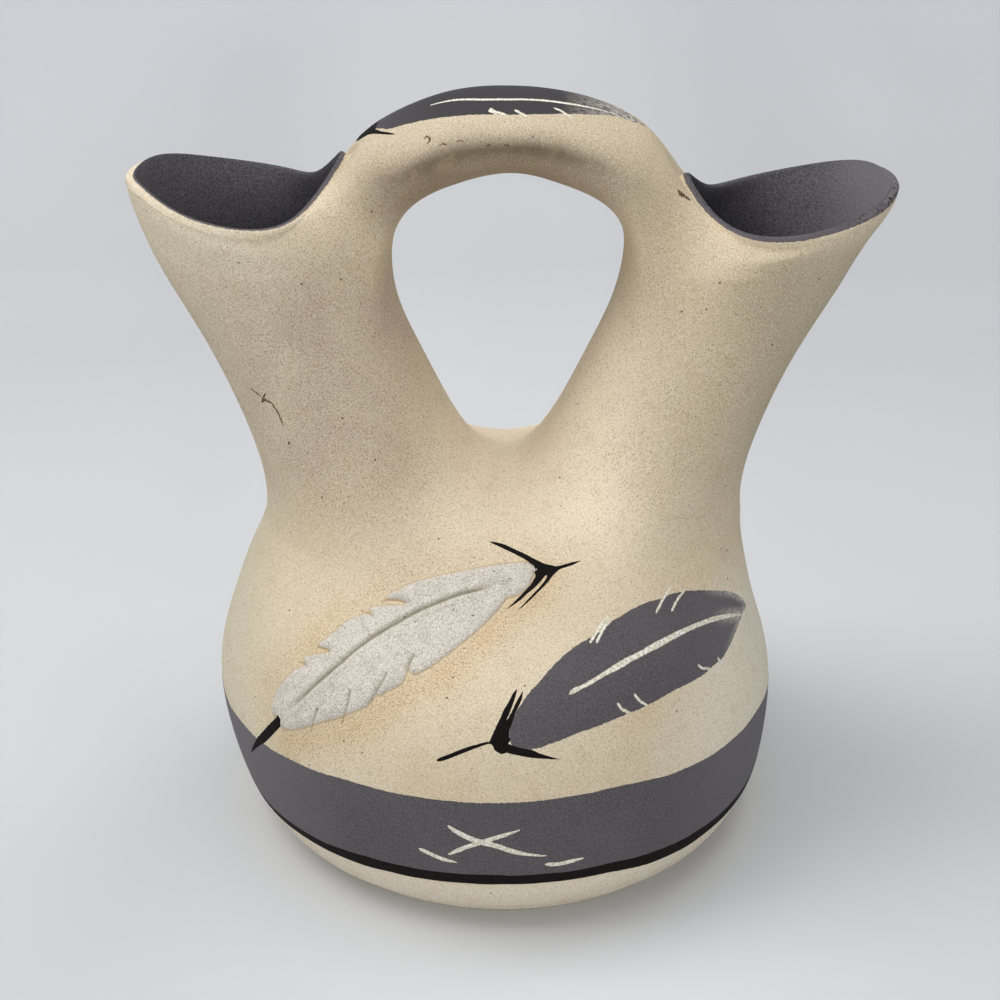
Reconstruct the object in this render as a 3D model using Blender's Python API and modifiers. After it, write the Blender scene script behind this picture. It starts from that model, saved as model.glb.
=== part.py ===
"""A two-spouted wedding vase in pale bisque clay, about 171 mm tall.

The bowl is turned. The shoulder, spouts and handle come from one coarse cage and are parted
at the places where a potter lutes them. Coats of slip lie in shallow recesses.
Frame: metres, +Z up, origin at the middle of the foot's flat, spouts along X, front at -Y.
"""
import math

import bmesh
import bpy
from mathutils import Vector

# Bowl
BOWL_RADIUS = 0.0640
EQUATOR_HEIGHT = 0.0370
BOWL_CURVE_DEPTH = 0.0484
BOWL_FULLNESS = 3.1
FOOT_RADIUS = 0.0500
FOOT_CURVE_HEIGHT = 0.0030
FLOOR = 0.0060
WALL = 0.0045
SLUMP = 0.0024
SLUMP_CURVE = 1.5

# Seams between the pieces
SEAM_HEIGHT = 0.0410
SPOUT_SEAM_DROP = 0.0120
HANDLE_CUT_UNDER = (0.0232, 0.1370)
HANDLE_CUT_TOP = (0.0315, 0.1665)
JOINT_GAP = 0.0003

# Bands of slip round the bowl
COAT = 0.0005
BAND_TOP = 0.0364
BAND_BOTTOM = 0.0160
LINE_BOTTOM = 0.0134

# Sections of the shoulder going up: height, and how far it is set in from the bowl's radius
# at its sides and at its front
SHOULDER_LOWER = (0.0500, 0.0034, 0.0027)
SHOULDER_UPPER = (0.0620, 0.0069, 0.0110)
WAIST = (0.0740, 0.0101, 0.0245)

# Crotch between the spouts, which falls away to the front
CROTCH_HEIGHT = 0.0870
CROTCH_SIDE_DROP = 0.0030
CROTCH_SIDE_HALF_DEPTH = 0.0125
CROTCH_FRONT_DROP = 0.0090
CROTCH_FRONT_HALF_DEPTH = 0.0300

# Sections of a spout going up: reach and height of the outer and the inner side, half depth
SPOUT_BASE = ((0.0551, 0.0900), (0.0087, 0.0930), 0.0245)
SPOUT_MIDDLE = ((0.0629, 0.1120), (0.0180, 0.1120), 0.0215)
SPOUT_THROAT = ((0.0713, 0.1290), (0.0236, 0.1280), 0.0206)
SPOUT_FLARE = ((0.0763, 0.1400), (0.0288, 0.1410), 0.0218)
RIGHT_LEAN = 0.0025
LEAN_CURVE = 3

# Lips, from the tip to the root at the handle: reach, half depth and height
LEFT_LIP = ((0.0799, 0.0, 0.1534), (0.0759, 0.0115, 0.1533), (0.0644, 0.0208, 0.1500),
            (0.0476, 0.0207, 0.1477), (0.0373, 0.0092, 0.1508), (0.0312, 0.0, 0.1572))
RIGHT_LIP = ((0.0833, 0.0, 0.1522), (0.0789, 0.0141, 0.1513), (0.0666, 0.0214, 0.1479),
             (0.0518, 0.0195, 0.1457), (0.0412, 0.0095, 0.1476), (0.0357, 0.0, 0.1526))
LIP_ROUND = 0.0016
# How far the lip's outer edge lies below its crest at those points, in lip rounds
LIP_FALL = (1, 1.4, 2.0, 2.2, -0.3, -1.1)

# Handle: reach and height of its top, side and underside at three sections, and the share of the
# lean that each takes on the right
HANDLE_MIDDLE = ((0.0, 0.1709), (0.0, 0.1630), (-0.0004, 0.1553), 0.45)
HANDLE_SHOULDER = ((0.0120, 0.1697), (0.0115, 0.1610), (0.0105, 0.1525), 0.55)
HANDLE_ROOT = ((0.0265, 0.1636), (0.0240, 0.1540), (0.0218, 0.1440), 1)
HANDLE_HALF_WIDTH = 0.0160

# Feathers: where the quill meets the vane, the way to the tip, and the way out of the clay
RAISED_TURN = math.radians(-49.06)
RAISED_SET_OUT = 0.0009
RAISED_HEIGHT = 0.0414
RAISED_WAYS = ((0.847, 0.138, 0.514), (-0.299, -0.675, 0.675))
PAINTED_TURN = math.radians(-2.06)
PAINTED_SET_IN = 0.0027
PAINTED_HEIGHT = 0.0499
PAINTED_WAYS = ((0.783, 0.611, 0.119), (0.402, -0.642, 0.653))
CREST_SET_IN = 0.0029
CREST_WAYS = ((1.0, 0.0, 0.0), (0.0, 0.0, 1.0))
FEATHER_BED = 0.0080
FEATHER_RELIEF = 0.0014
SCRATCH_WIDTH = 0.0010

# Outlines of the vanes, along the feather and across it
RAISED_OUTLINE = (
    (0.0000, -0.0005), (0.0006, 0.0047), (0.0044, 0.0070), (0.0100, 0.0074), (0.0112, 0.0060),
    (0.0150, 0.0082), (0.0230, 0.0090), (0.0240, 0.0070), (0.0275, 0.0090), (0.0370, 0.0090),
    (0.0385, 0.0072), (0.0420, 0.0084), (0.0520, 0.0076), (0.0600, 0.0063), (0.0650, 0.0026),
    (0.0660, -0.0006), (0.0590, -0.0036), (0.0500, -0.0070), (0.0400, -0.0090), (0.0290, -0.0098),
    (0.0275, -0.0078), (0.0240, -0.0092), (0.0180, -0.0083), (0.0165, -0.0066), (0.0130, -0.0074),
    (0.0060, -0.0042))
PAINTED_OUTLINE = (
    (0.0030, -0.0008), (0.0084, 0.0054), (0.0166, 0.0081), (0.0275, 0.0099), (0.0338, 0.0108),
    (0.0443, 0.0106), (0.0535, 0.0089), (0.0684, 0.0030), (0.0722, -0.0012), (0.0608, -0.0065),
    (0.0509, -0.0086), (0.0333, -0.0084), (0.0218, -0.0072), (0.0124, -0.0060), (0.0063, -0.0048))
HANDLE_OUTLINE = (
    (-0.0270, -0.0015), (-0.0214, -0.0043), (-0.0151, -0.0063), (-0.0089, -0.0082),
    (0.0000, -0.0093), (0.0100, -0.0082), (0.0180, -0.0055), (0.0290, 0.0006), (0.0180, 0.0058),
    (0.0089, 0.0085), (0.0000, 0.0095), (-0.0089, 0.0085), (-0.0180, 0.0058))

# Shafts of the feathers, scratched or grooved
RAISED_SHAFT = ((0.0029, 0.0011), (0.0190, 0.0020), (0.0315, 0.0032), (0.0425, 0.0032), (0.0560, 0.0012))
PAINTED_SHAFT = ((0.0172, 0.0019), (0.0250, 0.0018), (0.0403, 0.0016), (0.0520, 0.0009), (0.0660, -0.0015))
HANDLE_SHAFT = ((-0.0150, -0.0011), (0.0001, -0.0044), (0.0120, -0.0038), (0.0210, -0.0018))

SMOOTH_LEVELS = 2
TURNED_STEPS = 48
HOLLOW_STEPS = 12
BODY_STEPS = 6
SPOUT_STEPS = 5
SHARP_ANGLE = math.radians(40)
MERGE_DISTANCE = 0.00001


def turned_radius(height):
    """Outer radius of the bowl at a height."""
    drop = abs(EQUATOR_HEIGHT - height) / BOWL_CURVE_DEPTH
    return BOWL_RADIUS * (1 - drop ** BOWL_FULLNESS) ** (1 / BOWL_FULLNESS)


def hollow_radius(height):
    """Inner radius of the bowl at a height."""
    drop = abs(EQUATOR_HEIGHT - height) / (EQUATOR_HEIGHT - FLOOR)
    return (BOWL_RADIUS - WALL) * (1 - drop ** BOWL_FULLNESS) ** (1 / BOWL_FULLNESS)


def lean(side, height):
    """How far the right spout and the handle's right root lean out at a height."""
    rise = max(height - WAIST[0], 0) / (LEFT_LIP[0][2] - WAIST[0])
    return RIGHT_LEAN * rise ** LEAN_CURVE * (side + 1) / 2


def half_turn(steps):
    """Angles of a half ring."""
    return [math.pi * step / steps for step in range(steps + 1)]


def body_row(section, inset):
    """A half ring of the body, from +X through the front to -X."""
    height, side_set_in, front_set_in = section
    half_width, half_depth = BOWL_RADIUS - side_set_in, BOWL_RADIUS - front_set_in
    return [((half_width - inset) * math.cos(turn), (inset - half_depth) * math.sin(turn), height)
            for turn in half_turn(BODY_STEPS)]


def waist_row(inset):
    """The body's top half ring, whose front point is the foot of the crotch."""
    row = body_row(WAIST, inset)
    row[BODY_STEPS // 2] = (0, inset - CROTCH_FRONT_HALF_DEPTH, CROTCH_HEIGHT - CROTCH_FRONT_DROP - inset)
    return row


def crotch_row(inset):
    """The points between the crotch's foot and its middle."""
    return [(0, inset / 2 - CROTCH_SIDE_HALF_DEPTH, CROTCH_HEIGHT - CROTCH_SIDE_DROP - inset),
            (0, 0, CROTCH_HEIGHT - inset)]


def section_row(side, section, inset):
    """A half ring of a spout, from its outer side through the front to its inner side."""
    (outer, outer_height), (inner, inner_height), half_depth = section
    middle = (outer + inner) / 2 + lean(side, outer_height)
    half = (outer - inner) / 2 - inset
    row = []
    for turn in half_turn(SPOUT_STEPS):
        rise = (outer_height - inner_height) / 2 * math.cos(turn)
        row.append((side * (middle + half * math.cos(turn)),
                    (inset - half_depth) * math.sin(turn),
                    (outer_height + inner_height) / 2 + rise))
    return row


def lip_row(side, inset, falls):
    """A half ring of a lip, drawn in towards the mouth and let down from its crest."""
    lip = RIGHT_LIP if side > 0 else LEFT_LIP
    middle = (lip[0][0] + lip[-1][0]) / 2
    length_share = 1 - inset / (lip[0][0] - middle)
    depth_share = 1 - inset / max(depth for reach, depth, height in lip)
    return [(side * (middle + (reach - middle) * length_share), -depth * depth_share,
             height - fall * LIP_ROUND)
            for (reach, depth, height), fall in zip(lip, falls)]


def handle_row(side, section):
    """A half ring of the handle, from its top through the front to its underside."""
    (top, crown), (middle, centre), (under, floor), leaning = section
    corner = math.sqrt(0.5)
    shift = lean(side, centre) * leaning
    points = [(top, 0, crown),
              (middle + (top - middle) * corner, corner, centre + (crown - centre) * corner),
              (middle, 1, centre),
              (middle + (under - middle) * corner, corner, centre + (floor - centre) * corner),
              (under, 0, floor)]
    return [(side * x + shift, -HANDLE_HALF_WIDTH * y, z) for x, y, z in points]


def add_row(cage, points):
    return [cage.verts.new(point) for point in points]


def add_strip(cage, lower, upper):
    for a, b, c, d in zip(lower, lower[1:], upper[1:], upper):
        cage.faces.new((a, b, c, d))


def add_skin(cage, inset, sections):
    """One face of the clay's wall, from below the seam to the last section of each spout."""
    spacing = SHOULDER_LOWER[0] - EQUATOR_HEIGHT
    heights = [EQUATOR_HEIGHT - spacing * step for step in (2, 1, 0)]
    set_ins = [BOWL_RADIUS - turned_radius(height) for height in heights]
    body = [(height, set_in, set_in) for height, set_in in zip(heights, set_ins)]
    rows = [add_row(cage, body_row(section, inset))
            for section in body + [SHOULDER_LOWER, SHOULDER_UPPER]]
    rows.append(add_row(cage, waist_row(inset)))
    for lower, upper in zip(rows, rows[1:]):
        add_strip(cage, lower, upper)
    crotch = add_row(cage, crotch_row(inset))
    front = BODY_STEPS // 2
    spouts = {1: [rows[-1][:front + 1] + crotch], -1: [rows[-1][:front - 1:-1] + crotch]}
    for side, spout in spouts.items():
        for section in sections:
            spout.append(add_row(cage, section_row(side, section, inset)))
    return rows[0], spouts


def add_handle(cage, holes):
    """The arch of the handle between the two holes left for it in the spouts."""
    rows = [holes[-1]]
    for side, section in ((-1, HANDLE_ROOT), (-1, HANDLE_SHOULDER), (1, HANDLE_MIDDLE),
                          (1, HANDLE_SHOULDER), (1, HANDLE_ROOT)):
        rows.append(add_row(cage, handle_row(side, section)))
    rows.append(holes[1])
    for lower, upper in zip(rows, rows[1:]):
        add_strip(cage, lower, upper)


def build_cage(hollow):
    """Half of the clay's cage, open at the mirror plane."""
    cage = bmesh.new()
    sections = (SPOUT_BASE, SPOUT_MIDDLE, SPOUT_THROAT, SPOUT_FLARE)
    foot, outer = add_skin(cage, 0, sections)
    holes = {}
    for side, rows in outer.items():
        rows.append(add_row(cage, lip_row(side, 0, LIP_FALL)))
        for lower, upper in zip(rows[:4], rows[1:4]):
            add_strip(cage, lower, upper)
        for lower, upper in zip(rows[3:], rows[4:]):
            add_strip(cage, lower[:-1], upper[:-1])
        throat, flare, lip = rows[3:]
        holes[side] = [lip[-1], lip[-2], flare[-2], throat[-2], throat[-1]]
    add_handle(cage, holes)
    if hollow:
        inner_foot, inner = add_skin(cage, WALL, (SPOUT_BASE, SPOUT_THROAT))
        add_strip(cage, foot, inner_foot)
        for side, rows in inner.items():
            mouth = add_row(cage, lip_row(side, 2 * LIP_ROUND, [1] * len(LIP_FALL)))
            crest = add_row(cage, lip_row(side, LIP_ROUND, [0] * len(LIP_FALL)))
            rows += [mouth, crest, outer[side][-1]]
            for lower, upper in zip(rows, rows[1:]):
                add_strip(cage, lower, upper)
    else:
        cage.faces.new(foot)
        for rows in outer.values():
            cage.faces.new(rows[-1])
    return cage


def make_collection(name):
    group = bpy.data.collections.new(name)
    bpy.context.scene.collection.children.link(group)
    return group


def make_material(name, colour, roughness):
    material = bpy.data.materials.new(name)
    material.use_nodes = True
    shader = material.node_tree.nodes["Principled BSDF"]
    shader.inputs["Base Color"].default_value = (*colour, 1)
    shader.inputs["Roughness"].default_value = roughness
    shader.inputs["Metallic"].default_value = 0
    return material


def add_object(name, mesh, group, material=None):
    piece = bpy.data.objects.new(name, mesh)
    group.objects.link(piece)
    if material:
        mesh.materials.clear()
        mesh.materials.append(material)
    return piece


def add_guide(name, mesh):
    """A cutter or a first shape, which is not part of the vase."""
    piece = add_object(name, mesh, guides)
    piece.hide_render = True
    piece.display_type = "WIRE"
    return piece


def evaluated_mesh(piece):
    """A new mesh with the piece's modifiers worked in."""
    bpy.context.view_layer.update()
    graph = bpy.context.evaluated_depsgraph_get()
    return bpy.data.meshes.new_from_object(piece.evaluated_get(graph))


def slumped(mesh):
    """The mesh with its belly sagged to the left, as the fired pot is."""
    for vertex in mesh.vertices:
        if 0 < vertex.co.z < WAIST[0]:
            rise = (vertex.co.z / WAIST[0]) ** SLUMP_CURVE
            vertex.co.x -= SLUMP * math.sin(math.pi * rise)
    return mesh


def mirrored(half, name):
    """The whole cage from its open half, with its faces pointing out."""
    mesh = bpy.data.meshes.new(name)
    half.to_mesh(mesh)
    half.free()
    piece = add_guide(name, mesh)
    mirror = piece.modifiers.new("other_half", "MIRROR")
    mirror.use_axis = (False, True, False)
    mirror.merge_threshold = MERGE_DISTANCE
    whole = bmesh.new()
    whole.from_mesh(evaluated_mesh(piece))
    bmesh.ops.recalc_face_normals(whole, faces=whole.faces)
    piece.modifiers.clear()
    whole.to_mesh(mesh)
    whole.free()
    return piece


def smooth(piece, rounds=10):
    """Round the cage, and push it out until the smooth face meets the points it was given."""
    rounding = piece.modifiers.new("rounding", "SUBSURF")
    rounding.levels = rounding.render_levels = 1
    wanted = [vertex.co.copy() for vertex in piece.data.vertices]
    for _ in range(rounds):
        reached = evaluated_mesh(piece)
        for vertex, goal, got in zip(piece.data.vertices, wanted, reached.vertices):
            vertex.co += goal - got.co
        bpy.data.meshes.remove(reached)
    rounding.levels = rounding.render_levels = SMOOTH_LEVELS
    return slumped(evaluated_mesh(piece))


def turned_curve(top, bottom, inset, steps):
    """Points down the bowl's outside, set in from it."""
    heights = [top + (bottom - top) * step / steps for step in range(steps + 1)]
    return [(turned_radius(height) - inset, height) for height in heights]


def foot_curve(steps=4):
    """The small round from the bowl's side to the foot's flat."""
    start = turned_radius(FOOT_CURVE_HEIGHT)
    corner = 2 * start - turned_radius(2 * FOOT_CURVE_HEIGHT)
    points = []
    for step in range(1, steps + 1):
        share = step / steps
        near, middle, far = (1 - share) ** 2, 2 * share * (1 - share), share ** 2
        points.append((near * start + middle * corner + far * FOOT_RADIUS, near * FOOT_CURVE_HEIGHT))
    return points


def turned(name, profile, closed, material):
    """A piece turned from a profile that runs down its outer side."""
    mesh = bpy.data.meshes.new(name)
    edges = [(i, i + 1) for i in range(len(profile) - 1)]
    if closed:
        edges.append((len(profile) - 1, 0))
    mesh.from_pydata([(radius, 0, height) for radius, height in profile], edges, [])
    piece = add_guide(name + "_profile", mesh)
    screw = piece.modifiers.new("turning", "SCREW")
    screw.steps = screw.render_steps = TURNED_STEPS
    screw.use_merge_vertices = True
    screw.merge_threshold = MERGE_DISTANCE
    return add_object(name, slumped(evaluated_mesh(piece)), vase, material)


def make_bowl():
    """The turned bowl, with a shallow recess for its bands of slip."""
    top = SEAM_HEIGHT - JOINT_GAP
    hollow = [(0.0, FLOOR)]
    for step in range(1, HOLLOW_STEPS + 1):
        drop = (EQUATOR_HEIGHT - FLOOR) * math.cos(math.pi / 2 * step / HOLLOW_STEPS)
        hollow.append((hollow_radius(EQUATOR_HEIGHT - drop), EQUATOR_HEIGHT - drop))
    hollow.append((hollow_radius(top), top))
    recess = COAT + JOINT_GAP
    outside = turned_curve(top, BAND_TOP, 0, 1) + turned_curve(BAND_TOP, LINE_BOTTOM, recess, 9)
    outside += turned_curve(LINE_BOTTOM, FOOT_CURVE_HEIGHT, 0, 5) + foot_curve() + [(0.0, 0.0)]
    turned("bowl", hollow + outside, False, clay)


def make_band(name, top, bottom, steps, material):
    """A turned coat that fills its recess, a gap clear of the clay all round."""
    top, bottom = top - JOINT_GAP, bottom + JOINT_GAP
    outside = turned_curve(top, bottom, 0, steps)
    inside = turned_curve(bottom, top, COAT, steps)
    turned(name, outside + inside, True, material)


def add_slab(name, outline, frame, inward, outward):
    """A cutter with an outline in the frame's plane, reaching inward and outward from it."""
    origin, along, out = (Vector(part) for part in frame)
    across = out.cross(along).normalized()
    out = along.cross(across).normalized()
    base = [origin + along * x + across * y - out * inward for x, y in outline]
    shape = bmesh.new()
    face = shape.faces.new([shape.verts.new(point) for point in base])
    sweep = bmesh.ops.extrude_face_region(shape, geom=[face])
    moved = [item for item in sweep["geom"] if isinstance(item, bmesh.types.BMVert)]
    bmesh.ops.translate(shape, verts=moved, vec=out * (inward + outward))
    bmesh.ops.recalc_face_normals(shape, faces=shape.faces)
    mesh = bpy.data.meshes.new(name)
    shape.to_mesh(mesh)
    shape.free()
    return add_guide(name, mesh)


def cut(piece, cutter, operation):
    boolean = piece.modifiers.new(cutter.name, "BOOLEAN")
    boolean.operation = operation
    boolean.object = cutter


def rectangle(left, right, bottom, top):
    return [(left, bottom), (right, bottom), (right, top), (left, top)]


def handle_outline(grow):
    """The region of the arch, seen from the front, between the two luted roots."""
    under = HANDLE_CUT_UNDER[0] + grow, HANDLE_CUT_UNDER[1] - grow
    top = HANDLE_CUT_TOP[0] + grow, HANDLE_CUT_TOP[1]
    over = HANDLE_CUT_TOP[0] + grow, 2 * HANDLE_CUT_TOP[1]
    right = [(x + lean(1, height), height) for x, height in (under, top, over)]
    return right + [(-x, height) for x, height in (over, top, under)]


def part_clay(wall):
    """Part the clay wall at its luted seams."""
    reach = 2 * BOWL_RADIUS
    seam = CROTCH_HEIGHT - SPOUT_SEAM_DROP
    half_gap = JOINT_GAP / 2
    top = 2 * HANDLE_CUT_TOP[1]
    front_view = ((0, 0, 0), (1, 0, 0), (0, -1, 0))
    regions = {
        "shoulder": rectangle(-reach, reach, SEAM_HEIGHT, seam - half_gap),
        "left_spout": rectangle(-reach, -half_gap, seam + half_gap, top),
        "right_spout": rectangle(half_gap, reach, seam + half_gap, top),
        "handle": handle_outline(0),
    }
    roots = add_slab("handle_roots", handle_outline(JOINT_GAP), front_view, reach, reach)
    pieces = {}
    for name, outline in regions.items():
        piece = add_object(name, wall.copy(), vase, clay)
        cut(piece, add_slab(name + "_region", outline, front_view, reach, reach), "INTERSECT")
        if name.endswith("spout"):
            cut(piece, roots, "DIFFERENCE")
        pieces[name] = piece
    return pieces


def bowl_frame(turn, radius, height, ways):
    """A frame at a turn round the bowl from its front, with the ways along and out."""
    return ((radius * math.sin(turn), -radius * math.cos(turn), height), *ways)


def grown(outline, amount):
    """The outline moved outward by an amount, corner by corner."""
    points = [Vector(point) for point in outline]
    turn = sum(a.x * b.y - a.y * b.x for a, b in zip(points, points[1:] + points[:1]))
    moved = []
    for before, point, after in zip(points[-1:] + points, points, points[1:] + points[:1]):
        way = (after - before).normalized()
        moved.append(point + Vector((way.y, -way.x)) * amount * (1 if turn > 0 else -1))
    return moved


def stroke(line, width):
    """The outline of a line that tapers to its two ends."""
    points = [Vector(point) for point in line]
    upper, lower = [], []
    for before, point, after in zip(points, points[1:], points[2:]):
        way = (after - before).normalized()
        side = Vector((-way.y, way.x)) * width / 2
        upper.append(point + side)
        lower.append(point - side)
    return points[:1] + lower + points[-1:] + upper[::-1]


def offset_body(body, amount):
    """The clay's whole outside, grown by an amount, as a cutter."""
    piece = add_guide("body_offset", body.copy())
    shift = piece.modifiers.new("offset", "DISPLACE")
    shift.strength = amount
    shift.mid_level = 0
    return piece


def lay_feather(name, outline, shaft, frame, body, levels, material):
    """A vane between two offsets of the clay's outside, with a shaft cut down to a third."""
    foot, face, groove = levels
    vane = add_slab(name, outline, frame, FEATHER_BED, 2 * FEATHER_BED)
    cut(vane, offset_body(body, face), "INTERSECT")
    cut(vane, offset_body(body, foot), "DIFFERENCE")
    scratch = add_slab(name + "_shaft", stroke(shaft, SCRATCH_WIDTH), frame, FEATHER_BED, 3 * FEATHER_BED)
    cut(scratch, offset_body(body, groove), "DIFFERENCE")
    cut(vane, scratch, "DIFFERENCE")
    guides.objects.unlink(vane)
    vase.objects.link(vane)
    vane.hide_render = False
    vane.display_type = "TEXTURED"
    vane.data.materials.append(material)


def inlay_feather(name, outline, shaft, frame, body, hosts):
    """A coat of grey slip in a recess of its hosts, with the shaft scratched through it."""
    recess = add_slab(name + "_recess", grown(outline, JOINT_GAP), frame, FEATHER_BED, 2 * FEATHER_BED)
    cut(recess, offset_body(body, -COAT - JOINT_GAP), "DIFFERENCE")
    for host in hosts:
        cut(host, recess, "DIFFERENCE")
    lay_feather(name, outline, shaft, frame, body, (-COAT, 0, -2 * COAT), grey_slip)


def finish(piece):
    """Work in the cuts, and shade the piece smooth but for its edges."""
    mesh = evaluated_mesh(piece)
    mesh.name = piece.name
    piece.modifiers.clear()
    piece.data = mesh
    mesh.shade_smooth()
    mesh.set_sharp_from_angle(angle=SHARP_ANGLE)


for old in list(bpy.data.objects):
    bpy.data.objects.remove(old)
vase = make_collection("wedding_vase")
guides = make_collection("guides")
clay = make_material("clay", (0.65, 0.55, 0.40), 0.9)
white_clay = make_material("white_clay", (0.74, 0.68, 0.60), 0.95)
grey_slip = make_material("grey_slip", (0.098, 0.091, 0.093), 0.85)
black_slip = make_material("black_slip", (0.012, 0.008, 0.006), 0.6)

make_bowl()
make_band("grey_band", BAND_TOP, BAND_BOTTOM, 8, grey_slip)
make_band("black_line", BAND_BOTTOM, LINE_BOTTOM, 2, black_slip)
pieces = part_clay(smooth(mirrored(build_cage(True), "clay_cage")))
body = smooth(mirrored(build_cage(False), "body_cage"))
raised_frame = bowl_frame(RAISED_TURN, BOWL_RADIUS + RAISED_SET_OUT, RAISED_HEIGHT, RAISED_WAYS)
lay_feather("raised_feather", RAISED_OUTLINE, RAISED_SHAFT, raised_frame, body,
            (JOINT_GAP, FEATHER_RELIEF, FEATHER_RELIEF / 2), white_clay)
painted_frame = bowl_frame(PAINTED_TURN, BOWL_RADIUS - PAINTED_SET_IN, PAINTED_HEIGHT, PAINTED_WAYS)
inlay_feather("painted_feather", PAINTED_OUTLINE, PAINTED_SHAFT, painted_frame, body,
              (pieces["shoulder"], pieces["right_spout"]))
crest_frame = ((0, 0, HANDLE_MIDDLE[0][1] - CREST_SET_IN), *CREST_WAYS)
inlay_feather("handle_feather", HANDLE_OUTLINE, HANDLE_SHAFT, crest_frame, body, (pieces["handle"],))
for piece in vase.objects:
    finish(piece)
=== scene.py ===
"""A two-spouted wedding vase in pale bisque clay, on a pale studio floor.

The clay's whole face is one smooth skin, hollow, which is parted into the pieces that a potter
lutes together. Slips and ornament are thin sheets that follow that skin.
"""
import math

import bmesh
import bpy
import numpy as np
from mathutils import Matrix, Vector, noise
from mathutils.bvhtree import BVHTree


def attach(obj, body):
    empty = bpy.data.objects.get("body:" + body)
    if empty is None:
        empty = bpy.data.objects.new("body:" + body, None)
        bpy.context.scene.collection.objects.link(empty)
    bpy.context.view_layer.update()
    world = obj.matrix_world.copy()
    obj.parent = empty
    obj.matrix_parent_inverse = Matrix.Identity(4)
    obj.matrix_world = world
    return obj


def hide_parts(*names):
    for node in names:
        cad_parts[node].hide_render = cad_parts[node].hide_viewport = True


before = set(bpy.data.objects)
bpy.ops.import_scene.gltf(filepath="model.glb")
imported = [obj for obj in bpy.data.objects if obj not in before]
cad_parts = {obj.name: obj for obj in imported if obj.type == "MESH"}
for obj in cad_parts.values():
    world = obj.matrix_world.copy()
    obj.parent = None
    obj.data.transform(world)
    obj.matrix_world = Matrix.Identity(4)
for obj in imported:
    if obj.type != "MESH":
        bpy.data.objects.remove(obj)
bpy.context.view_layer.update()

MM = 0.001

# Bowl, as in the CAD
BOWL_RADIUS = 0.0640
EQUATOR_HEIGHT = 0.0370
BOWL_CURVE_DEPTH = 0.0484
BOWL_FULLNESS = 3.1
FLOOR = 0.0060
WALL = 0.0045
SLUMP = 0.0024
SLUMP_CURVE = 1.5

# Seams between the pieces
SEAM_HEIGHT = 0.0410
SPOUT_SEAM_HEIGHT = 0.0750
HANDLE_CUT_UNDER = (0.0232, 0.1370)
HANDLE_CUT_TOP = (0.0315, 0.1665)

# Sections of the body: height, half width and half depth
FOOT_ROWS = ((0.0, 0.0260), (0.0, 0.0500), (0.0007, 0.0531), (0.0030, 0.0561))
SHOULDER_LOWER = (0.0500, 0.0606, 0.0613)
SHOULDER_UPPER = (0.0620, 0.0571, 0.0530)
WAIST = (0.0740, 0.0539, 0.0395)
CROTCH_HEIGHT = 0.0870
CROTCH_SIDE_HEIGHT = 0.0840
CROTCH_SIDE_HALF_DEPTH = 0.0125
CROTCH_FRONT_HEIGHT = 0.0780
CROTCH_FRONT_HALF_DEPTH = 0.0300

# Sections of a spout going up: reach and height of the outer and the inner side, half depth
SPOUT_BASE = ((0.0551, 0.0900), (0.0087, 0.0930), 0.0245)
SPOUT_MIDDLE = ((0.0629, 0.1120), (0.0180, 0.1120), 0.0215)
SPOUT_THROAT = ((0.0713, 0.1290), (0.0236, 0.1280), 0.0206)
SPOUT_FLARE = ((0.0763, 0.1400), (0.0288, 0.1410), 0.0218)
RIGHT_LEAN = 0.0025
LEAN_CURVE = 3

# Lips, from the tip to the root at the handle: reach, half depth and height
LEFT_LIP = ((0.0799, 0.0, 0.1534), (0.0759, 0.0115, 0.1533), (0.0644, 0.0208, 0.1500),
            (0.0476, 0.0207, 0.1477), (0.0373, 0.0092, 0.1508), (0.0312, 0.0, 0.1572))
RIGHT_LIP = ((0.0833, 0.0, 0.1522), (0.0789, 0.0141, 0.1513), (0.0666, 0.0214, 0.1479),
             (0.0518, 0.0195, 0.1457), (0.0412, 0.0095, 0.1476), (0.0357, 0.0, 0.1526))
LIP_ROUND = 0.0016
# At those points: how far the outer edge lies below the crest, in lip rounds, and how far the dark
# lining reaches over the crest and over the outer edge
LIP_FALL = (1, 1.4, 2.0, 2.2, -0.3, -1.1)
LEFT_CREST_LINING = (0.46, 0.46, 0.50, 0.48, 0.46, 0.44)
RIGHT_CREST_LINING = (1.0, 0.95, 0.72, 0.64, 0.54, 0.44)
RIGHT_EDGE_LINING = (0.5, 0.34, 0, 0, 0, 0)

# Handle: reach and height of its top, side and underside at three sections, and the share of the
# lean that each takes on the right
HANDLE_MIDDLE = ((0, 0.1709), (0, 0.1630), (-0.0004, 0.1553), 0.45)
HANDLE_SHOULDER = ((0.0120, 0.1697), (0.0115, 0.1610), (0.0105, 0.1525), 0.55)
HANDLE_ROOT = ((0.0265, 0.1636), (0.0240, 0.1540), (0.0218, 0.1440), 1)
HANDLE_HALF_WIDTH = 0.0160

# Heights of the bowl's rows outside and inside, and the floor's inner rows
OUTER_HEIGHTS = (0.0066, 0.0130, 0.0240, EQUATOR_HEIGHT)
INNER_HEIGHTS = (0.0105, 0.0160, 0.0250, EQUATOR_HEIGHT)
FLOOR_ROWS = ((FLOOR, 0.0200), (0.0064, 0.0360))

BODY_STEPS = 6
SPOUT_STEPS = 5
CAGE_ROUNDS = 10
SMOOTH_LEVELS = 4
MERGE_DISTANCE = 0.00001
WOBBLE = 0.00010
WOBBLE_SCALE = 55
FOOT_FLAT = 0.0005


def pairs(*flat):
    """Points from numbers in a row."""
    return np.array(flat, float).reshape(-1, 2)


def tenths(*flat):
    return pairs(*flat) / 10


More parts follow.
